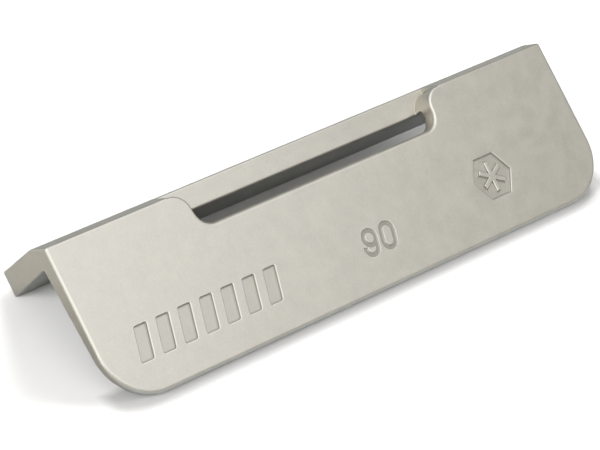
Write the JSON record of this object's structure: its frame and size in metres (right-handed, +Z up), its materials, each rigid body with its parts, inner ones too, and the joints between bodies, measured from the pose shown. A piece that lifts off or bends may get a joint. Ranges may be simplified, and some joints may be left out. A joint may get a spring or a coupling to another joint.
{
  "type": "edge file guide",
  "caption": "Right-angle L-section guide for filing ski and snowboard edges: a long tapered plate, a short flange and a window at the corner between them.",
  "frame": {"origin": "middle of the bounding box at the surface the guide rests on", "axes": "X along the guide's length, +Y from the plate's lower edge towards the flange, +Z up; the guide rests on the plate's lower inner edge and the flange's foot, so the plate leans 28.7 degrees"},
  "size_m": [0.12, 0.035, 0.0158],
  "materials": {
    "blasted_steel": "satin, bead-blasted warm-grey stainless steel"
  },
  "bodies": {
    "root": {"file_guide": "blasted_steel"}
  },
  "joints": []
}
